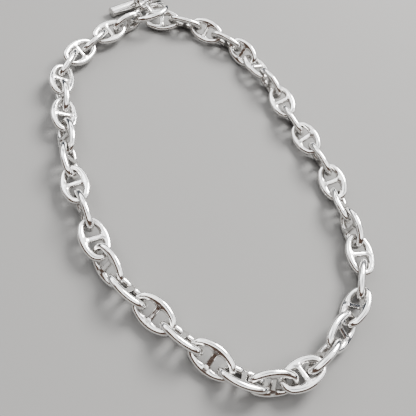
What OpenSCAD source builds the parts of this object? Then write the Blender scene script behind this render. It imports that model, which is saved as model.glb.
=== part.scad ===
// Mariner link chain: a silver necklace of studded oval links with a toggle clasp,
// lying in a loop on a flat surface. Millimetres, +Z up, z = 0 is the surface that it lies on.
// The origin is under the middle of the loop. The chain runs from the ring of the clasp to its bar.

/* [Link] */
// Overall length of a link
link_length = 15.3; // [14.9:0.05:15.8]
// Overall width of a link
link_width = 9.6; // [9.3:0.05:10]
// Diameter of the wire that the oval is bent from
wire_d = 2.2; // [2:0.02:2.24]
// Breadth of the wire in the middle of each long side, where its inner edge runs straight
side_breadth = 2.65; // [2.4:0.05:2.7]
// Radius of the tight bend at each end, to the middle of the wire
bend_radius = 2.8; // [2.75:0.01:2.9]
// Diameter of the stud across the middle
stud_d = 1.5; // [1:0.05:1.6]
// Width of the solder fillet round each end of the stud
fillet = 0.2; // [0.05:0.01:0.25]
// Clearance where two pieces hang in each other
link_gap = 0.2; // [0.16:0.01:0.3]

/* [Toggle ring] */
// Outer diameter of the ring
ring_d = 18.8; // [18.6:0.05:19]
// Diameter of the wire of the ring
ring_wire_d = 2.4; // [2.2:0.02:2.42]
// Direction of the ring's middle from the first link
ring_heading = 60; // [60:1:61]
// Slope of the ring, from the raised near side to the far side on the surface
ring_lean = 30; // [30:1:31]

/* [Toggle bar] */
// Length of the bar
bar_length = 27; // [24:0.5:34]
// Diameter of the bar
bar_d = 4; // [3.6:0.05:4.2]
// Bevel round the flat ends of the bar
bar_bevel = 0.3; // [0.1:0.05:0.6]
// Direction of the bar seen from above
bar_heading = 55; // [50:1:58]
// Outer diameter of the eyelet soldered to the bar
eyelet_d = 6.2; // [6:0.05:6.6]
// Diameter of the eyelet's wire
eyelet_wire_d = 1.4; // [1.2:0.02:1.5]
// Depth to which the eyelet is sunk into the bar
eyelet_sink = 0.2; // [0.1:0.05:0.5]
// Slope at which the eyelet stands up from the bar
eyelet_lift = 60; // [55:1:65]

/* [Jump rings] */
// Outer diameter of the two small rings between the last link and the bar
jump_d = 8.4; // [8.3:0.05:8.6]
// Diameter of the small rings' wire
jump_wire_d = 1.4; // [1.3:0.02:1.42]
// Direction in which the small rings run to the bar
jump_heading = 150; // [148:1:152]

/* [Hidden] */
$fn = 64;
silver = [0.82, 0.83, 0.84];

// How each link lies, from the ring to the bar. Heading is the way the link points seen from above, in
// degrees. Roll turns it about its own length: 0 lies flat, and a positive roll lifts its left side.
// Slack is how far its near end has slid back along the link before, as a share of the wire diameter.
HEADING = 0;
ROLL = 1;
SLACK = 2;
chain_lay = [
    [-120, 85, 0], [-120, -15, 0.4], [-105, 60, 0.9], [-110, -25, 0.95], [-90, 65, 0.9],
    [-70, -20, 0.9], [-60, 65, 0.9], [-65, -20, 0.95], [-60, 55, 0.35], [-60, -60, 0.2],
    [-55, 10, 0.15], [-50, 85, 0.1], [-50, -5, 0], [-40, 55, 0.45], [-25, -50, 0.15],
    [-25, 30, 0.2], [-20, -55, 0.05], [-20, 35, 0.2], [-5, -45, 0.2], [20, 55, 0.9],
    [45, -15, 0.5], [60, -75, 0.9], [65, 35, 0.15], [75, -45, 0.15], [90, 65, 0.45],
    [110, -5, 0.5], [115, -80, 0.3], [115, 40, 0.4], [120, -30, 0.25], [130, 65, 0.1],
    [130, -35, 0.05], [130, 55, 0.4], [125, -25, 0.4], [135, 80, 0.15], [135, 10, 0.1],
    [145, -55, 0.45], [165, 60, 0.7], [165, -45, 0.2], [185, 55, 0.3], [195, -25, 0.2],
];
links = len(chain_lay);

// The oval of a link, to the middle of its wire: two tight end arcs and two wide side arcs, tangent
half_length = (link_length - wire_d) / 2;
half_width = (link_width - wire_d) / 2;
bend_x = half_length - bend_radius;
side_radius = (bend_x ^ 2 + half_width ^ 2 - bend_radius ^ 2) / (2 * (half_width - bend_radius));
side_y = side_radius - half_width;
bend_angle = atan2(side_y, bend_x);
touch = [bend_x + bend_radius * cos(bend_angle), bend_radius * sin(bend_angle), 0];

// The swell of a long side: a straight rod, a little thinner than the wire, along a chord of its arc
swell_d = 0.95 * wire_d;
swell_y = half_width + wire_d / 2 - side_breadth + swell_d / 2;
swell_length = 2 * sqrt(side_radius ^ 2 - (side_y + swell_y) ^ 2);

// The clasp, to the middle of each wire, and where its pieces hang in each other
ring_radius = (ring_d - ring_wire_d) / 2;
jump_radius = (jump_d - jump_wire_d) / 2;
eyelet_radius = (eyelet_d - eyelet_wire_d) / 2;
ring_slack = 0.4 * wire_d; // how far the ring has slid back along the first link
jump_rolls = [45, -80];
bar_way = [cos(bar_heading), sin(bar_heading), 0];
bar_side = [sin(bar_heading), -cos(bar_heading), 0];
up = [0, 0, 1];

// Heights of the joints: each is held up by the steeper link, whose low side rests on the surface
function roll(i) = chain_lay[i][ROLL];
function rest_z(i) = half_width * abs(sin(roll(i))) + wire_d / 2;
function slack(i) = chain_lay[i][SLACK] * wire_d;
joint_z = [
    for (i = [0:links])
        i == 0 ? rest_z(0) : i == links ? rest_z(links - 1) : max(rest_z(i - 1), rest_z(i))
];

// Directions of each link: along it, across it in its own plane, and as angles for rotate()
function heading(i) = chain_lay[i][HEADING];
function tilt(i) = asin((joint_z[i + 1] - joint_z[i]) / (2 * half_length));
function way(i) = [cos(heading(i)), sin(heading(i))];
function along(i) = [way(i)[0] * cos(tilt(i)), way(i)[1] * cos(tilt(i)), sin(tilt(i))];
function level(i) = [-way(i)[1], way(i)[0], 0];
function across(i) = level(i) * cos(roll(i)) + cross(along(i), level(i)) * sin(roll(i));
function turn(i) = [roll(i), -tilt(i), heading(i)];

// Places seen from above: each link starts where the one before ends, less the wire that they share
function unit(v) = v / norm(v);
function run(i) = half_length * cos(tilt(i)) * way(i);
function shared(i) = (wire_d + link_gap + slack(i)) * unit(way(i - 1) + way(i));
function step(i) = i < links ? run(i - 1) - shared(i) + run(i) : [0, 0];
laid = [for (i = 0, p = [0, 0]; i < links; p = p + step(i + 1), i = i + 1) p];
function laid_centre(i) = [laid[i][0], laid[i][1], (joint_z[i] + joint_z[i + 1]) / 2];

// The ring hangs in the first link. It leans with its far side down on the surface.
last = links - 1;
ring_lap = (wire_d + ring_wire_d) / 2 + link_gap + ring_slack;
ring_seat = laid_centre(0) - (half_length - ring_lap) * along(0);
ring_fall = asin((ring_seat[2] - ring_radius * sin(ring_lean) - ring_wire_d / 2) / ring_radius);
ring_way = [cos(ring_fall) * cos(ring_heading), cos(ring_fall) * sin(ring_heading), -sin(ring_fall)];
ring_level = [-sin(ring_heading), cos(ring_heading), 0];
ring_across = ring_level * cos(ring_lean) - cross(ring_way, ring_level) * sin(ring_lean);
laid_ring = ring_seat + ring_radius * ring_way;

// Two small rings run in a straight line from the last link's side to the eyelet, which stands on the bar
hook = laid_centre(last) + bend_x * along(last) - bend_radius * across(last);
hook_lap = (wire_d + jump_wire_d) / 2 + link_gap;
jump_lap = jump_wire_d + link_gap;
eyelet_lap = (jump_wire_d + eyelet_wire_d) / 2 + link_gap;
jump_run = 4 * jump_radius - hook_lap - jump_lap - eyelet_lap;
eyelet_out = bar_d / 2 + eyelet_radius - eyelet_sink;
eyelet_top = bar_d / 2 + (eyelet_out + eyelet_radius) * sin(eyelet_lift);
jump_rise = asin((eyelet_top - hook[2]) / jump_run);
jump_way = [cos(jump_rise) * cos(jump_heading), cos(jump_rise) * sin(jump_heading), sin(jump_rise)];
jump_level = [-sin(jump_heading), cos(jump_heading), 0];
jump_at = [jump_radius - hook_lap, 3 * jump_radius - hook_lap - jump_lap];
function laid_jump(i) = hook + jump_at[i] * jump_way;
function jump_across(i) =
    jump_level * cos(jump_rolls[i]) + cross(jump_way, jump_level) * sin(jump_rolls[i]);
eyelet_way = cos(eyelet_lift) * bar_side + sin(eyelet_lift) * up;
laid_bar = hook + jump_run * jump_way - (eyelet_out + eyelet_radius) * eyelet_way;

// How far each piece reaches from the first link's centre in a direction d of unit length
function oval_reach(u, v) = atan2(abs(v), abs(u)) < bend_angle
    ? bend_x * abs(u) + bend_radius * norm([u, v])
    : side_radius * norm([u, v]) - side_y * abs(v);
function link_reach(i, d) = d * laid_centre(i) + oval_reach(d * along(i), d * across(i)) + wire_d / 2;
function hoop_reach(d, radius, thickness, way, across) =
    radius * norm([d * way, d * across]) + thickness / 2;
function ring_reach(d) =
    d * laid_ring + hoop_reach(d, ring_radius, ring_wire_d, ring_way, ring_across);
function jump_reach(i, d) =
    d * laid_jump(i) + hoop_reach(d, jump_radius, jump_wire_d, jump_way, jump_across(i));
function rod_reach(d, length, radius) =
    length / 2 * abs(d * bar_way) + radius * norm([d * bar_side, d * up]);
function bar_reach(d) = d * laid_bar + max(
    rod_reach(d, bar_length - 2 * bar_bevel, bar_d / 2),
    rod_reach(d, bar_length, bar_d / 2 - bar_bevel)
);
function reach(d) = max(concat(
    [for (i = [0:last]) link_reach(i, d)],
    [ring_reach(d), jump_reach(0, d), jump_reach(1, d), bar_reach(d)]
));

// The whole necklace is moved so that its box stands on the surface with its middle over the origin
to_origin = [
    (reach([-1, 0, 0]) - reach([1, 0, 0])) / 2,
    (reach([0, -1, 0]) - reach([0, 1, 0])) / 2,
    reach([0, 0, -1])
];

function two_digits(n) = n < 10 ? str("0", n) : str(n);
function link_name(i) = str("link_", two_digits(i + 1));
CLASP = ["toggle_ring", "toggle_bar", "jump_ring_1", "jump_ring_2"];

// An arc of wire that starts at the origin and runs off along y, bending towards -x
module wire_arc(radius, angle) {
    translate([-radius, 0, 0])
        rotate_extrude(angle = angle)
            translate([radius, 0])
                circle(d = wire_d);
}

// A closed ring of wire about the z axis
module wire_ring(radius, thickness) {
    rotate_extrude()
        translate([radius, 0])
            circle(d = thickness);
}

// A quarter of the oval: both arcs start where they touch, and are cut off at the middle planes
module quarter_oval() {
    past = 2; // degrees by which each arc runs past its middle plane before it is cut
    intersection() {
        translate(touch)
            rotate([0, 0, bend_angle]) {
                mirror([0, 1, 0])
                    wire_arc(bend_radius, bend_angle + past);
                wire_arc(side_radius, 90 - bend_angle + past);
            }
        translate([0, 0, -wire_d])
            cube([link_length, link_width, 2 * wire_d]);
    }
}

// The stud lies along y and ends inside the wire, with a fillet that widens towards each end
module stud() {
    fillet_length = 3 * fillet;
    inside_wire = 0.96 * wire_d / 2; // widest radius that still ends inside the round wire
    fillet_y = half_width - wire_d / 2 - fillet_length;
    wide = min(stud_d / 2 + fillet, inside_wire);
    rotate([-90, 0, 0])
        rotate_extrude()
            polygon([
                [0, -half_width], [wide, -half_width], [stud_d / 2, -fillet_y],
                [stud_d / 2, fillet_y], [wide, half_width], [0, half_width],
            ]);
}

module studded_link() {
    for (x = [0, 1], y = [0, 1])
        mirror([x, 0, 0])
            mirror([0, y, 0])
                quarter_oval();
    for (y = [-swell_y, swell_y])
        translate([0, y, 0])
            rotate([0, 90, 0])
                cylinder(d = swell_d, h = swell_length, center = true);
    stud();
}

module placed_link(i) {
    color(silver)
        translate(laid_centre(i) + to_origin)
            rotate(turn(i))
                studded_link();
}

module toggle_ring() {
    color(silver)
        translate(laid_ring + to_origin)
            rotate([0, 0, ring_heading])
                rotate([0, ring_fall, 0])
                    rotate([-ring_lean, 0, 0])
                        wire_ring(ring_radius, ring_wire_d);
}

// The bar lies along x here, with its eyelet standing up on the side towards the chain
module toggle_bar() {
    color(silver)
        translate(laid_bar + to_origin)
            rotate([0, 0, bar_heading]) {
                rotate([0, 90, 0])
                    bar_body();
                rotate([-eyelet_lift, 0, 0])
                    translate([0, -eyelet_out, 0])
                        wire_ring(eyelet_radius, eyelet_wire_d);
            }
}

module bar_body() {
    cylinder(d = bar_d, h = bar_length - 2 * bar_bevel, center = true);
    for (end = [0, 180])
        rotate([end, 0, 0])
            translate([0, 0, bar_length / 2 - bar_bevel])
                cylinder(d1 = bar_d, d2 = bar_d - 2 * bar_bevel, h = bar_bevel);
}

module jump_ring(i) {
    color(silver)
        translate(laid_jump(i) + to_origin)
            rotate([0, 0, jump_heading])
                rotate([0, -jump_rise, 0])
                    rotate([jump_rolls[i], 0, 0])
                        wire_ring(jump_radius, jump_wire_d);
}

for (i = [0:last])
    placed_link(i);
toggle_ring();
toggle_bar();
jump_ring(0);  // jump_ring_1
jump_ring(1);  // jump_ring_2
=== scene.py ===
"""A polished silver mariner chain with its toggle clasp, lying on a plain pale floor."""
import math
import random

import bpy
import numpy as np
from mathutils import Matrix, Vector, noise
from mathutils.bvhtree import BVHTree


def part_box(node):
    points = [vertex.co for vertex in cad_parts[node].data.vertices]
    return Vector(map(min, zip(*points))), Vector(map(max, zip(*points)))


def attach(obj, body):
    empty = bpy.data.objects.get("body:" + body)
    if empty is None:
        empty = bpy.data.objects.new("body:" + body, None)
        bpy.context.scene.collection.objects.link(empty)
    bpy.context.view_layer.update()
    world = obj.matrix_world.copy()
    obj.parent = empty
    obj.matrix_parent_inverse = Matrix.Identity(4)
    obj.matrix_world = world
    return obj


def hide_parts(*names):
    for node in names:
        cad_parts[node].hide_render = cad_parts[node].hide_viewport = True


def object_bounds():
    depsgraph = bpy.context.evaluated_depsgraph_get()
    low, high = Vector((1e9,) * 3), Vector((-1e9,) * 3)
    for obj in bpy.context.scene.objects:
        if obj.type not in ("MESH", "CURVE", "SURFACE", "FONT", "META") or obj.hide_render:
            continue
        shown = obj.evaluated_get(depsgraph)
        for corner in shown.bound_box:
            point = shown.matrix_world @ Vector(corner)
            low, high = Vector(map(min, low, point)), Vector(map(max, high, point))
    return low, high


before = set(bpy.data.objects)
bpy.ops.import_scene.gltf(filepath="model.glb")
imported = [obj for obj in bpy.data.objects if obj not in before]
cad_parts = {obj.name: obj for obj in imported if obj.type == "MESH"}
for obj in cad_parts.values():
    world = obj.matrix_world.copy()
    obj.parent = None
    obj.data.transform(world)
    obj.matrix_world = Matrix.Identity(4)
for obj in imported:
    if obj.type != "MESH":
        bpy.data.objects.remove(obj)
cad_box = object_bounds()

MM = 0.001

# Sizes are in millimetres. A link lies about its own centre, x along it and y across it, and its wire
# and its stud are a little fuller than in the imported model.
LINKS = 40
# Radius of a link's wire, and how much broader than high the wire is
WIRE = 1.1
BROAD = 1.04
# Half the length and half the width of a link, to the middle of its wire
HALF_LENGTH = 6.55
HALF_WIDTH = 3.7
# Radius of the tight end bends, and of the wide sides that run into them
BEND = 2.8
SIDE = ((HALF_LENGTH - BEND) ** 2 + HALF_WIDTH ** 2 - BEND ** 2) / (2 * (HALF_WIDTH - BEND))
# Extra breadth of the wire's inner side at the stud, and how far along the wire it runs out
SWELL = 0.45
SWELL_REACH = 3.1
# Least and most that a link's end is worn away inside, and how far from the end the wear reaches
WORN = (0.02, 0.05)
WORN_REACH = 2.2
# Half the breadth and half the height of the stud, and how square its section is: 2 would be round
STUD_BREADTH = 0.82
STUD_HEIGHT = 0.86
SQUARE = 3.0
# How far from the link's middle the stud ends inside the wire
STUD_END = 2.7
# How near to each other the wire and the stud are where solder begins to fill the corner between them
SOLDER = 0.75
# The bar of the clasp, the bevel of its ends, and how far its eyelet's middle is from its own
BAR_RADIUS = 2.0
BAR_HALF = 13.5
BAR_BEVEL = 0.3
EYELET_OUT = 4.2
# Hoops of wire: radius, radius of the wire, points round the wire, points along the hoop
HOOPS = {
    "toggle_ring": (8.2, 1.2, 36, 160),
    "jump_ring": (3.5, 0.7, 28, 96),
    "eyelet": (2.4, 0.7, 28, 80),
}
# Where each small ring was cut and closed again, in radians round it
CUTS = (3.2, 4.2)
# Half the width of a cut in radians, the places of the points across it, and its depth as a share of the wire
CUT_HALF = 0.018
CUT_POINTS = (-0.03, -0.018, -0.009, 0, 0.009, 0.018, 0.03)
CUT_DEPTH = 0.13

# Points along an end bend and along half a side, and how much closer together they are towards the stud
BEND_POINTS = 15
SIDE_POINTS = 19
CROWD_TO_STUD = 1.5
# Stations along the stud: first, last and how many, in its plain middle and from there into the wire
STUD_MIDDLE = (-0.7, 0.7, 5)
STUD_OUTER = (0.95, 2.95, 24)
# Stations along the bar's plain middle and in its bevel, how far from its ends the middle stops, and the
# radii of the rings of points on its end faces
BAR_STATIONS = 40
BEVEL_STATIONS = 7
PLAIN_INSET = 1
FACE_RADII = (0.4, 0.9, 1.3, 1.6, 1.68)
# Points round the wire of a link, round its stud and round the bar
WIRE_POINTS = 36
STUD_POINTS = 44
BAR_POINTS = 48

# Seed of the first link's wear, less one
WEAR_SEED = 100
# Unevenness from handwork: the seed, to which a piece's number is added, then the size of the long soft
# one and of the small ripple
UNEVEN = {
    "link": (0, 0.04, 0.012),
    "toggle_ring": (61, 0.05, 0.012),
    "jump_ring": (70, 0.03, 0.008),
    "toggle_bar": (80, 0.03, 0.01),
}
# How fast the noise of each changes with the millimetres
BOW_SCALE = 0.22
RIPPLE_SCALE = 1.1
# How far one piece's noise is from the next one's, and the noise's three components from each other
SEED_STEP = (17.3, 5.1, -11.7)
NOISE_PARTS = [Vector((0, 0, 0)), Vector((31.4, 7.2, 0)), Vector((0, 47.9, 13.1))]

# How dark the painted brown shade and reflection is, from 0 to 1, in creases, on inner sides and on
# undersides
INSIDE_PAINTED_SHADE = 0.62
SOLDER_PAINTED_SHADE = 0.65
STUD_PAINTED_SHADE = 0.05
HOOP_PAINTED_SHADE = 0.2
BAR_PAINTED_SHADE = 0.08
EYELET_PAINTED_SHADE = 0.35
UNDER_PAINTED_SHADE = 0.75
# How far in millimetres the solder stands out where its painted shade is full
FULL_SHADE_DEPTH = 0.25
# Where the painted shade begins and is full: round a wire by the cosine from its inner side, on the underside
# by how far a point faces down, and beside the eyelet, going out, by the distance along the bar
INSIDE_EDGES = (0.35, 1)
UNDER_EDGES = (-0.5, 0.2)
EYELET_EDGES = (0.7, 1.3)
# Distance in metres over which a piece close by paints shade into a crevice and dulls its polish, the share
# of it that counts as touching, and how near two boxes are when their pieces are compared
CROWDED = 0.0013
TOUCHING = 0.1
NEAR_BOXES = 0.0005


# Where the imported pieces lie
def triangles(node):
    """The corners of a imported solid's triangles, in millimetres."""
    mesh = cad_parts[node].data
    mesh.calc_loop_triangles()
    points = np.empty(len(mesh.vertices) * 3)
    mesh.vertices.foreach_get("co", points)
    index = np.empty(len(mesh.loop_triangles) * 3, dtype=np.int32)
    mesh.loop_triangles.foreach_get("vertices", index)
    return points.reshape(-1, 3)[index.reshape(-1, 3)] / MM


def placing(node):
    """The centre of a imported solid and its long, middle and short axes, from its volume.

    Each triangle makes a tetrahedron with a common point, and their volumes and moments add up to the
    solid's. The short axis points up, and the long one to the near side.
    """
    tri = triangles(node)
    a, b, c = tri[:, 0], tri[:, 1], tri[:, 2]
    mid = tri.mean(axis=(0, 1))
    a, b, c = a - mid, b - mid, c - mid
    volume = np.einsum("ij,ij->i", a, np.cross(b, c)) / 6
    centre = ((a + b + c) * volume[:, None]).sum(axis=0) / (4 * volume.sum())
    a, b, c = a - centre, b - centre, c - centre
    moment = sum(np.einsum("k,ki,kj->ij", volume, v, v) for v in (a, b, c, a + b + c)) / 20
    axes = np.linalg.eigh(moment)[1]
    long_axis, short = axes[:, 2], axes[:, 0]
    if short[2] < 0:
        short = -short
    if long_axis[1] > 0:
        long_axis = -long_axis
    return centre + mid, long_axis, np.cross(short, long_axis), short


def bar_placing():
    """The bar's own centre and axes: the eyelet draws the solid's centre of volume to its side."""
    # Points this close to the bar's end belong to its end face
    face_depth = 0.02
    centroid, along = placing("toggle_bar")[:2]
    points = triangles("toggle_bar").reshape(-1, 3)
    reach = (points - centroid) @ along
    ends = []
    for side in (1, -1):
        face = points[side * reach > BAR_HALF - face_depth]
        flat = face - np.outer((face - centroid) @ along, along)
        ends.append((flat.min(axis=0) + flat.max(axis=0)) / 2)
    centre = (ends[0] + ends[1]) / 2
    centre = centre + along * ((reach.max() + reach.min()) / 2 - (centre - centroid) @ along)
    to_eyelet = centroid - centre
    to_eyelet = to_eyelet - along * (to_eyelet @ along)
    to_eyelet = to_eyelet / np.linalg.norm(to_eyelet)
    return centre, along, to_eyelet, np.cross(along, to_eyelet)


# Mesh building, in millimetres
class Shape:
    """Points, faces and how dark the painted shade and seams are at each point, kept until they are made into
    one object.
    """

    def __init__(self):
        self.points, self.faces, self.painted_shade_and_seams = [], [], []

    def add(self, points, faces, painted_shade_and_seams):
        """Take in one closed surface, with its faces turned outwards."""
        start = len(self.points)
        v = np.array([tuple(p) for p in points])
        v = v - v.mean(axis=0)
        fans = np.array([(f[0], f[i], f[i + 1]) for f in faces for i in range(1, len(f) - 1)])
        if np.einsum("ij,ij->", v[fans[:, 0]], np.cross(v[fans[:, 1]], v[fans[:, 2]])) < 0:
            faces = [tuple(reversed(f)) for f in faces]
        self.points += [tuple(p) for p in points]
        self.faces += [tuple(start + i for i in f) for f in faces]
        self.painted_shade_and_seams += list(painted_shade_and_seams)


def circle(count):
    """Cosines and sines of evenly spaced angles round a full turn."""
    angles = [2 * math.pi * k / count for k in range(count)]
    return [(math.cos(t), math.sin(t)) for t in angles]


def grid_faces(rings, around, closed):
    """Faces between rings of points, run on into a loop or closed with a cap at both ends."""
    faces = []
    for i in range(rings if closed else rings - 1):
        j = (i + 1) % rings
        for k in range(around):
            n = (k + 1) % around
            faces.append((i * around + k, j * around + k, j * around + n, i * around + n))
    if not closed:
        last = (rings - 1) * around
        faces.append(tuple(range(around)))
        faces.append(tuple(last + k for k in reversed(range(around))))
    return faces


def ease(t):
    """From 0 to 1 with a soft start and end."""
    return t * t * (3 - 2 * t)


def smooth_step(edge_in, edge_out, value):
    """0 up to one edge and 1 from the other on, with a soft rise between."""
    return ease(min(max((value - edge_in) / (edge_out - edge_in), 0), 1))


# The links
def oval_path():
    """Points and outward directions along the oval's wire, closer together where the stud meets it."""
    bend_x = HALF_LENGTH - BEND
    turn = math.atan2(SIDE - HALF_WIDTH, bend_x)
    quarter = []
    for t in np.linspace(0, 1, BEND_POINTS)[:-1]:
        angle = turn * t
        quarter.append((bend_x + BEND * math.cos(angle), BEND * math.sin(angle), angle))
    for t in np.linspace(0, 1, SIDE_POINTS):
        angle = turn + (math.pi / 2 - turn) * (1 - (1 - t) ** CROWD_TO_STUD)
        quarter.append((SIDE * math.cos(angle), HALF_WIDTH - SIDE + SIDE * math.sin(angle), angle))
    half = quarter + [(-x, y, math.pi - a) for x, y, a in reversed(quarter[:-1])]
    return half[:-1] + [(-x, -y, a + math.pi) for x, y, a in half[:-1]]


OVAL = oval_path()


def swell(x):
    """Extra breadth of the wire's inner side at a distance x from the stud."""
    return SWELL * np.maximum(0, 1 - (x / SWELL_REACH) ** 2)


def wire_field(p):
    """About how far points near the stud are outside the wire."""
    # These keep the result finite near the middle line of the wire
    tiny, least_slope = 1e-9, 0.2
    inward = HALF_WIDTH - p[:, 0] ** 2 / (2 * SIDE) - np.abs(p[:, 1])
    breadth = BROAD * WIRE + np.where(inward > 0, swell(p[:, 0]), 0)
    level = np.sqrt((inward / breadth) ** 2 + (p[:, 2] / WIRE) ** 2) + tiny
    slope = np.sqrt((inward / breadth ** 2) ** 2 + (p[:, 2] / WIRE ** 2) ** 2) / level
    return (level - 1) / np.maximum(slope, least_slope)


def stud_field(p):
    """About how far points are outside the stud, which ends inside the wire."""
    across, up = np.abs(p[:, 0]) / STUD_BREADTH, np.abs(p[:, 2]) / STUD_HEIGHT
    level = (across ** SQUARE + up ** SQUARE) ** (1 / SQUARE)
    beside, beyond = (level - 1) * STUD_BREADTH, np.abs(p[:, 1]) - STUD_END
    outside = np.hypot(np.maximum(beside, 0), np.maximum(beyond, 0))
    return outside + np.minimum(np.maximum(beside, beyond), 0)


def joint_field(p):
    """About how far points are outside the wire and the stud with the solder between them."""
    wire, bar = wire_field(p), stud_field(p)
    near = np.clip(1 - np.abs(wire - bar) / SOLDER, 0, 1)
    return np.minimum(wire, bar) - near ** 2 * SOLDER / 4


def soldered(points, other_field):
    """Points of the wire or the stud, moved out on to the solder where they meet, and how far each moved.

    Each step goes down the slope of the field, which is measured by a nudge either way along each axis.
    """
    steps, longest_step, least_slope, nudge = 5, 0.2, 0.05, 0.001
    # From this depth inside the other body a point stays, and over this way it comes to move in full
    deep, fade = 0.6, 0.45
    start = np.array(points)
    p = start.copy()
    for _ in range(steps):
        sides = [(joint_field(p + d), joint_field(p - d)) for d in nudge * np.eye(3)]
        slope = np.stack([(after - before) / (2 * nudge) for after, before in sides], axis=1)
        step = -joint_field(p) / np.maximum((slope ** 2).sum(axis=1), least_slope)
        p = p + np.clip(step, -longest_step, longest_step)[:, None] * slope
    other = other_field(start)
    part = ease(np.clip((other + deep) / fade, 0, 1)) * (other < SOLDER)
    moved = (p - start) * part[:, None]
    return start + moved, np.linalg.norm(moved, axis=1)


def oval_wire(shape, rng):
    """The bent wire of a link, a little broader along its sides, where the stud is soldered in."""
    points, painted_shade_and_seams = [], []
    worn = [rng.uniform(*WORN), rng.uniform(*WORN)]
    for x, y, angle in OVAL:
        out = (math.cos(angle), math.sin(angle))
        wear_and_painted_shade = worn[x > 0] * smooth_step(HALF_LENGTH - WORN_REACH, HALF_LENGTH, abs(x))
        extra = swell(x)
        for c, s in circle(WIRE_POINTS):
            inner = max(-c, 0)
            radius = WIRE - wear_and_painted_shade * inner ** 4
            reach = BROAD * radius * c - extra * inner
            points.append((x + reach * out[0], y + reach * out[1], radius * s))
            # Painted shade and reflection: brown on the wire's inner side, and in the solder's corners by how
            # far a point moved
            painted_shade_and_seams.append(INSIDE_PAINTED_SHADE * smooth_step(*INSIDE_EDGES, inner))
    points, moved = soldered(points, stud_field)
    painted_shade_and_seams = np.maximum(painted_shade_and_seams, np.clip(moved / FULL_SHADE_DEPTH, 0, SOLDER_PAINTED_SHADE))
    shape.add(points, grid_faces(len(OVAL), WIRE_POINTS, True), painted_shade_and_seams)


def stud(shape):
    """The bar across a link: square with soft edges, and spread at both ends into the solder."""
    outer = np.linspace(*STUD_OUTER)
    stations = np.concatenate([-outer[::-1], np.linspace(*STUD_MIDDLE), outer])
    points = []
    for y in stations:
        for c, s in circle(STUD_POINTS):
            full = (abs(c) ** SQUARE + abs(s) ** SQUARE) ** (-1 / SQUARE)
            points.append((STUD_BREADTH * full * s, y, STUD_HEIGHT * full * c))
    points, moved = soldered(points, wire_field)
    # Painted shade: a faint brown over the stud, darker in the solder's corners
    painted_shade_and_seams = np.clip(STUD_PAINTED_SHADE + moved / FULL_SHADE_DEPTH, 0, SOLDER_PAINTED_SHADE)
    shape.add(points, grid_faces(len(stations), STUD_POINTS, False), painted_shade_and_seams)


# The clasp
def hoop(shape, kind, cut=None, centre=(0, 0, 0)):
    """A ring of wire about z. A cut leaves the fine line where a ring was opened and closed again."""
    radius, wire, around, along = HOOPS[kind]
    angles = list(np.linspace(0, 2 * math.pi, along, endpoint=False))
    if cut is not None:
        angles = sorted(angles + [cut + d for d in CUT_POINTS])
    points, painted_shade_and_seams = [], []
    for a in angles:
        groove = 0 if cut is None else max(0, 1 - abs(a - cut) / CUT_HALF)
        r = wire * (1 - CUT_DEPTH * groove)
        for c, s in circle(around):
            out = radius + r * c
            points.append(Vector((out * math.cos(a), out * math.sin(a), r * s)) + Vector(centre))
            # Painted shade on the hoop's inner side; the cut's groove is dark as a seam
            painted_shade_and_seams.append(min(HOOP_PAINTED_SHADE * max(-c, 0) + groove, 1))
    shape.add(points, grid_faces(len(angles), around, True), painted_shade_and_seams)


def turned_rod(shape, profile, around):
    """A body turned about x, from (x, radius, painted shade) stations, closed at both ends."""
    points, painted_shade_and_seams = [], []
    for x, r, dark in profile:
        points += [(x, r * c, r * s) for c, s in circle(around)]
        painted_shade_and_seams += [dark] * around
    shape.add(points, grid_faces(len(profile), around, False), painted_shade_and_seams)


def bar_profile():
    """Stations along the bar, with bevelled ends, with faint painted shade all along and darker painted shade
    in the middle, where the eyelet is soldered.
    """
    plain_end = BAR_HALF - PLAIN_INSET
    turns = np.linspace(0, math.pi / 2, BEVEL_STATIONS)
    bevel = [(BAR_BEVEL * (1 - math.cos(a)), BAR_BEVEL * (1 - math.sin(a))) for a in turns]
    end = [(-BAR_HALF, r) for r in FACE_RADII]
    end += [(-BAR_HALF + inset, BAR_RADIUS - lower) for inset, lower in bevel]
    plain = [(x, BAR_RADIUS) for x in np.linspace(-plain_end, plain_end, BAR_STATIONS)]
    stations = end + plain + [(-x, r) for x, r in reversed(end)]
    return [(x, r, BAR_PAINTED_SHADE + EYELET_PAINTED_SHADE * (1 - smooth_step(*EYELET_EDGES, abs(x)))) for x, r in stations]


# From a shape to a piece
def soft_noise(v):
    """A smooth random vector at a place, the same on every run: noise_vector is seeded from the clock."""
    return Vector([noise.noise(v + apart) for apart in NOISE_PARTS])


def hand_made(shape, kind, number=0):
    """Slight unevenness from bending and polishing by hand: a long soft one and a small ripple."""
    seed, bow, ripple = UNEVEN[kind]
    shift = Vector([(seed + number) * step for step in SEED_STEP])
    moved = []
    for p in shape.points:
        v = Vector(p)
        bent = bow * soft_noise(v * BOW_SCALE + shift)
        moved.append(v + bent + ripple * soft_noise(v * RIPPLE_SCALE - shift))
    shape.points = moved


BOXES = {node: np.array([tuple(corner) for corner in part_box(node)]) for node in sorted(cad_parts)}
TREES = {}


def tree_of(node):
    """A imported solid's mesh, ready for nearest-point questions."""
    if node not in TREES:
        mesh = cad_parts[node].data
        TREES[node] = BVHTree.FromPolygons([v.co for v in mesh.vertices], [p.vertices for p in mesh.polygons])
    return TREES[node]


def neighbours(node):
    """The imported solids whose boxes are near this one's."""
    low, high = BOXES[node]
    near = []
    for other, (other_low, other_high) in BOXES.items():
        if other != node and (other_low < high + NEAR_BOXES).all() and (low < other_high + NEAR_BOXES).all():
            near.append(tree_of(other))
    return near


def closed_in(mesh, node):
    """How much each point is crowded by the pieces that hang in its own: 0 free, 1 all but touching."""
    around = neighbours(node)
    crowding = []
    for v in mesh.vertices:
        gap = CROWDED
        for tree in around:
            place, _, _, distance = tree.find_nearest(v.co, CROWDED)
            if place is not None:
                gap = min(gap, distance)
        crowding.append(1 - smooth_step(TOUCHING * CROWDED, CROWDED, gap))
    return crowding


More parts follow.
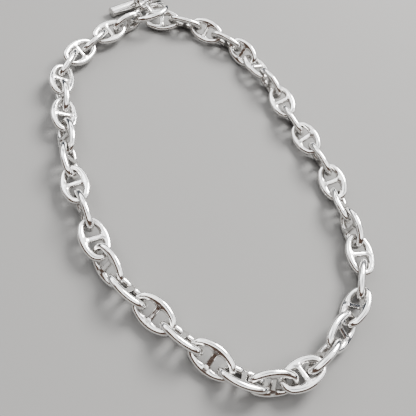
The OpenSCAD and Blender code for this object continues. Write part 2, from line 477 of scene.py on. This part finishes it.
def build(name, node, shape, placed, material):
    """Make a shape into the object that stands for a node, placed by a centre and three axes."""
    centre, x, y, z = placed
    points = np.array([tuple(p) for p in shape.points])
    points = (points @ np.array([x, y, z]) + centre) * MM
    mesh = bpy.data.meshes.new(name)
    mesh.from_pydata([tuple(p) for p in points], [], shape.faces)
    mesh.shade_smooth()
    mesh.materials.append(material)
    mesh.update()
    # Painted shade and reflection: brown on faces turned down and in crevices close to the neighbouring
    # pieces
    under = [UNDER_PAINTED_SHADE * smooth_step(*UNDER_EDGES, -n.vector.z) for n in mesh.vertex_normals]
    inside = closed_in(mesh, node)
    wear_and_painted_shade = mesh.attributes.new("painted_shade_and_seams", "FLOAT", "POINT")
    wear_and_painted_shade.data.foreach_set("value", [max(a, b, c) for a, b, c in zip(shape.painted_shade_and_seams, under, inside)])
    piece = bpy.data.objects.new(name, mesh)
    bpy.context.scene.collection.objects.link(piece)
    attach(piece, "root")
    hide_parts(node)


# Parts of a node tree
def connect(tree, value, socket):
    """Feed a socket from another node's output, or set it to a plain value."""
    if isinstance(value, bpy.types.NodeSocket):
        tree.links.new(value, socket)
    else:
        socket.default_value = value


def grey(value):
    """A colour without a tint."""
    return (value, value, value)


def ramp(tree, value, stops, interpolation="LINEAR"):
    """A colour that follows a value through (position, colour) stops."""
    node = tree.nodes.new("ShaderNodeValToRGB")
    node.color_ramp.interpolation = interpolation
    first, last = node.color_ramp.elements[0], node.color_ramp.elements[1]
    first.position, first.color = stops[0][0], (*stops[0][1], 1)
    last.position, last.color = stops[-1][0], (*stops[-1][1], 1)
    for at, colour in stops[1:-1]:
        node.color_ramp.elements.new(at).color = (*colour, 1)
    connect(tree, value, node.inputs["Fac"])
    return node.outputs["Color"]


def mix(tree, factor, first, second):
    """A colour between two. Sockets 6, 7 and 2 are the colour ones of the Mix node."""
    node = tree.nodes.new("ShaderNodeMix")
    node.data_type = "RGBA"
    connect(tree, factor, node.inputs["Factor"])
    connect(tree, first, node.inputs[6])
    connect(tree, second, node.inputs[7])
    return node.outputs[2]


# Materials
# Colour of the painted brown shade and reflection, and the roughness it adds
PAINTED_SHADE_COLOUR = (0.10, 0.072, 0.057)
PAINTED_SHADE_ROUGHNESS = 0.30
# The duller patches of the silver as a share of its tint, and the least and most of its cloudy roughness
DULLER = 0.965
CLOUD_RANGE = (0.7, 1.5)
# Polishing lines: scale, stretch and turn of the noise, where on it a line starts and is full, its roughness
HAIRLINES = [
    (1300, (12, 0.5, 4), (0.3, 0.2, 0.6), 0.60, 0.69, 0.13),
    (1600, (0.5, 11, 3), (0.5, -0.3, 0.9), 0.61, 0.70, 0.11),
]


def silver(name, tint, roughness, seed):
    """Polished sterling silver: bright, with fine hairlines, soft ripples and painted brown shade and
    reflection in the creases, on inner sides and underneath.
    """
    material = bpy.data.materials.new(name)
    material.use_nodes = True
    tree = material.node_tree
    shader = tree.nodes["Principled BSDF"]
    shader.inputs["Metallic"].default_value = 1.0
    place = tree.nodes.new("ShaderNodeTexCoord")

    def spread(scale, detail, stretch=(1, 1, 1), turn=(0, 0, 0)):
        mapping = tree.nodes.new("ShaderNodeMapping")
        mapping.inputs["Location"].default_value = (seed, seed * 0.7, -seed)
        mapping.inputs["Rotation"].default_value = turn
        mapping.inputs["Scale"].default_value = stretch
        connect(tree, place.outputs["Object"], mapping.inputs["Vector"])
        texture = tree.nodes.new("ShaderNodeTexNoise")
        texture.inputs["Scale"].default_value = scale
        texture.inputs["Detail"].default_value = detail
        connect(tree, mapping.outputs["Vector"], texture.inputs["Vector"])
        return texture.outputs["Fac"]

    def calculate(kind, a, b):
        node = tree.nodes.new("ShaderNodeMath")
        node.operation = kind
        node.use_clamp = True
        connect(tree, a, node.inputs[0])
        connect(tree, b, node.inputs[1])
        return node.outputs[0]

    def bump(height, strength, distance):
        node = tree.nodes.new("ShaderNodeBump")
        node.inputs["Strength"].default_value = strength
        node.inputs["Distance"].default_value = distance
        connect(tree, height, node.inputs["Height"])
        return node

    # Painted shade: the brown colour follows the painted-shade attribute, varied in patches
    wear_and_painted_shade = tree.nodes.new("ShaderNodeAttribute")
    wear_and_painted_shade.attribute_name = "painted_shade_and_seams"
    patch = ramp(tree, spread(scale=900, detail=4), [(0.35, grey(0.35)), (0.65, grey(1))])
    painted_shade_mask = calculate("MULTIPLY", wear_and_painted_shade.outputs["Fac"], patch)
    duller = tuple(DULLER * c for c in tint)
    unshaded_silver = ramp(tree, spread(scale=260, detail=2), [(0.3, duller), (0.7, tint)])
    connect(tree, mix(tree, painted_shade_mask, unshaded_silver, (*PAINTED_SHADE_COLOUR, 1)), shader.inputs["Base Color"])

    smooth, cloudy = [grey(roughness * share) for share in CLOUD_RANGE]
    cloud = ramp(tree, spread(scale=700, detail=5), [(0.3, smooth), (0.7, cloudy)])
    hairs = []
    for scale, stretch, turn, start, full, rough in HAIRLINES:
        line_noise = spread(scale, detail=2, stretch=stretch, turn=turn)
        hairs.append(ramp(tree, line_noise, [(start, grey(0)), (full, grey(rough))]))
    hair = calculate("ADD", *hairs)
    dull = calculate("MULTIPLY", painted_shade_mask, PAINTED_SHADE_ROUGHNESS)
    connect(tree, calculate("ADD", calculate("ADD", cloud, dull), hair), shader.inputs["Roughness"])

    ripple = bump(spread(scale=520, detail=2), strength=0.22, distance=0.00012)
    lines = bump(hair, strength=0.35, distance=0.00001)
    connect(tree, ripple.outputs["Normal"], lines.inputs["Normal"])
    connect(tree, lines.outputs["Normal"], shader.inputs["Normal"])
    return material


def pale_floor():
    """Matt pale paper."""
    material = bpy.data.materials.new("floor_paper")
    material.use_nodes = True
    shader = material.node_tree.nodes["Principled BSDF"]
    shader.inputs["Base Color"].default_value = (0.19, 0.188, 0.184, 1)
    shader.inputs["Roughness"].default_value = 0.9
    shader.inputs["Specular IOR Level"].default_value = 0.1
    return material


# The pieces
def links(material):
    """All the links of the chain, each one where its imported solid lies."""
    for i in range(1, LINKS + 1):
        node = "link_%02d" % i
        shape = Shape()
        oval_wire(shape, random.Random(WEAR_SEED + i))
        stud(shape)
        hand_made(shape, "link", i)
        build("silver_" + node, node, shape, placing(node), material)


def toggle_ring(material):
    """The round ring of the clasp."""
    shape = Shape()
    hoop(shape, "toggle_ring")
    hand_made(shape, "toggle_ring")
    build("silver_ring", "toggle_ring", shape, placing("toggle_ring"), material)


def small_rings(material):
    """The two rings between the last link and the bar's eyelet."""
    for i, cut in enumerate(CUTS, 1):
        node = "jump_ring_%d" % i
        shape = Shape()
        hoop(shape, "jump_ring", cut)
        hand_made(shape, "jump_ring", i)
        build("silver_" + node, node, shape, placing(node), material)


def toggle_bar(material):
    """The bar of the clasp with its eyelet."""
    shape = Shape()
    turned_rod(shape, bar_profile(), BAR_POINTS)
    hoop(shape, "eyelet", centre=(0, EYELET_OUT, 0))
    hand_made(shape, "toggle_bar")
    build("silver_bar", "toggle_bar", shape, bar_placing(), material)


# Floor, light and camera
FLOOR_SIZE = 30
FLOOR_GAP = 0.0001
# Lights: place, diameter, power and colour. Both face the middle of the chain.
LIGHTS = {
    "sky_light": ((0.30, 0.55, 0.60), 0.42, 24.0, (1.0, 0.99, 0.97)),
    "fill_light": ((-0.6, 0.25, 0.6), 0.35, 1.2, (0.93, 0.96, 1.0)),
}
# Colours of the studio from the horizon, 0, to overhead, 1, on its far side and on its near side
FAR_SIDE = [
    (0.0, (0.16, 0.16, 0.16)), (0.04, (0.03, 0.033, 0.038)), (0.34, (0.022, 0.025, 0.032)),
    (0.42, (1.8, 1.8, 1.8)), (0.56, (1.8, 1.8, 1.8)), (0.61, (0.07, 0.073, 0.085)),
    (0.68, (0.06, 0.063, 0.075)), (0.75, (1.2, 1.2, 1.2)), (0.92, (1.2, 1.2, 1.2)),
    (0.975, (0.26, 0.265, 0.28)), (1.0, (0.24, 0.245, 0.26)),
]
NEAR_SIDE = [
    (0.0, (0.12, 0.10, 0.09)), (0.05, (0.045, 0.029, 0.022)), (0.62, (0.034, 0.022, 0.017)),
    (0.72, (0.060, 0.046, 0.040)), (0.79, (1.3, 1.29, 1.27)), (0.93, (1.2, 1.2, 1.2)),
    (0.985, (0.26, 0.265, 0.28)), (1.0, (0.24, 0.245, 0.26)),
]
# Between these two places from front to back, the one side's colours turn into the other's
FAR_FROM = 0.12
NEAR_FROM = -0.22
BACKDROP = (0.24, 0.238, 0.232)
WORLD_STRENGTH = 2.6
# The photograph's viewpoint is above and before the near end of the loop. It looks down by PITCH and is
# rolled by TURN, in radians. Seen from it the first link lies FIRST_LINK away in x and y, and the floor
# CAMERA_HEIGHT below, in millimetres.
PITCH = 0.98886
TURN = 0.30817
FIRST_LINK = (-55.680, 164.368)
CAMERA_HEIGHT = 138.338
# The focal length and the picture's width in pixels, and the sensor's width in millimetres
FOCAL_PIXELS = 480
PICTURE_PIXELS = 416
SENSOR = 36


def add_floor():
    """A wide floor just under the lowest point of the object."""
    mesh = bpy.data.meshes.new("floor")
    h = FLOOR_SIZE / 2
    z = min(cad_box[0][2], 0) - FLOOR_GAP
    mesh.from_pydata([(-h, -h, z), (h, -h, z), (h, h, z), (-h, h, z)], [], [(0, 1, 2, 3)])
    mesh.materials.append(pale_floor())
    floor = bpy.data.objects.new("floor", mesh)
    bpy.context.scene.collection.objects.link(floor)


def add_lights():
    """Two round soft lights that face the middle of the chain."""
    for name, (place, size, power, colour) in LIGHTS.items():
        light = bpy.data.lights.new(name, "AREA")
        light.shape = "DISK"
        light.size = size
        light.energy = power
        light.color = colour
        lamp = bpy.data.objects.new(name, light)
        lamp.location = place
        lamp.rotation_euler = (-Vector(place)).to_track_quat("-Z", "Y").to_euler()
        bpy.context.scene.collection.objects.link(lamp)


def studio_world():
    """What the polished metal mirrors: bright and dark bands far off, and warm darkness low on the near side.

    The camera itself sees a plain grey there.
    """
    world = bpy.data.worlds.new("studio")
    world.use_nodes = True
    tree = world.node_tree
    tree.nodes.clear()
    direction = tree.nodes.new("ShaderNodeTexCoord")
    parts = tree.nodes.new("ShaderNodeSeparateXYZ")
    connect(tree, direction.outputs["Generated"], parts.inputs[0])
    far = ramp(tree, parts.outputs["Z"], FAR_SIDE, "EASE")
    near = ramp(tree, parts.outputs["Z"], NEAR_SIDE, "EASE")
    back_to_front = tree.nodes.new("ShaderNodeMapRange")
    back_to_front.inputs["From Min"].default_value = FAR_FROM
    back_to_front.inputs["From Max"].default_value = NEAR_FROM
    connect(tree, parts.outputs["Y"], back_to_front.inputs["Value"])
    around = mix(tree, back_to_front.outputs["Result"], far, near)
    seen = tree.nodes.new("ShaderNodeLightPath")
    shade = tree.nodes.new("ShaderNodeBackground")
    shade.inputs["Strength"].default_value = WORLD_STRENGTH
    backdrop = mix(tree, seen.outputs["Is Camera Ray"], around, (*BACKDROP, 1))
    connect(tree, backdrop, shade.inputs["Color"])
    out = tree.nodes.new("ShaderNodeOutputWorld")
    connect(tree, shade.outputs[0], out.inputs["Surface"])
    bpy.context.scene.world = world


def photo_camera():
    """The camera at the photograph's viewpoint."""
    first = placing("link_01")[0]
    forward = Vector((0, math.cos(PITCH), -math.sin(PITCH)))
    level_up = Vector((0, math.sin(PITCH), math.cos(PITCH)))
    side = Vector((1, 0, 0))
    right = math.cos(TURN) * side + math.sin(TURN) * level_up
    top = -math.sin(TURN) * side + math.cos(TURN) * level_up
    data = bpy.data.cameras.new("camera")
    data.sensor_width = SENSOR
    data.lens = SENSOR * FOCAL_PIXELS / PICTURE_PIXELS
    data.clip_start = 0.005
    data.clip_end = 50
    camera = bpy.data.objects.new("camera", data)
    camera.matrix_world = Matrix((
        (right.x, top.x, -forward.x, (first[0] - FIRST_LINK[0]) * MM),
        (right.y, top.y, -forward.y, (first[1] - FIRST_LINK[1]) * MM),
        (right.z, top.z, -forward.z, CAMERA_HEIGHT * MM),
        (0, 0, 0, 1)))
    bpy.context.scene.collection.objects.link(camera)
    bpy.context.scene.camera = camera


chain_silver = silver("polished_silver_chain", tint=(0.95, 0.945, 0.93), roughness=0.10, seed=3.0)
clasp_silver = silver("polished_silver_clasp", tint=(0.96, 0.955, 0.94), roughness=0.08, seed=8.0)
links(chain_silver)
toggle_ring(clasp_silver)
small_rings(clasp_silver)
toggle_bar(clasp_silver)
add_floor()
add_lights()
studio_world()
photo_camera()
